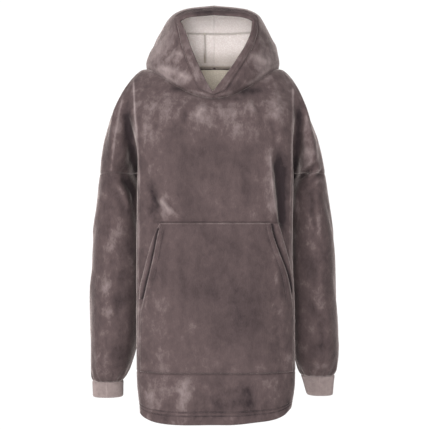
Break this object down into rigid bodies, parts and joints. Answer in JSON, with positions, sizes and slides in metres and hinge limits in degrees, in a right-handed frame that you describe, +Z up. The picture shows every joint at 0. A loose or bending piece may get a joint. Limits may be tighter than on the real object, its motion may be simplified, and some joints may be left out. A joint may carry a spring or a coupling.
{
  "type": "wearable blanket hoodie",
  "caption": "Long oversized plush hoodie with raised sherpa-lined hood, drop shoulders, rib cuffs and a kangaroo pocket, filled out as worn.",
  "frame": {"origin": "middle of the neck at shoulder height, where the wearer's neck and shoulders hold the garment up", "axes": "+Z up, front faces -Y, the wearer's left side at +X"},
  "size_m": [0.625, 0.3369, 1.0161],
  "materials": {
    "plush": "brushed flannel fleece with a short velvety nap",
    "sherpa": "curly sherpa pile",
    "rib": "fine rib knit"
  },
  "bodies": {
    "root": {"body_front": "plush", "body_back": "plush", "sleeve_left": "plush", "sleeve_right": "plush", "cuff_left": "rib", "cuff_right": "rib", "hood_side_left": "plush", "hood_side_right": "plush", "hood_band_left": "plush", "hood_band_right": "plush", "hood_facing_left": "sherpa", "hood_facing_right": "sherpa", "hood_lining_left": "sherpa", "hood_lining_right": "sherpa", "pocket": "plush", "pocket_facing_left": "sherpa", "pocket_facing_right": "sherpa"}
  },
  "joints": []
}
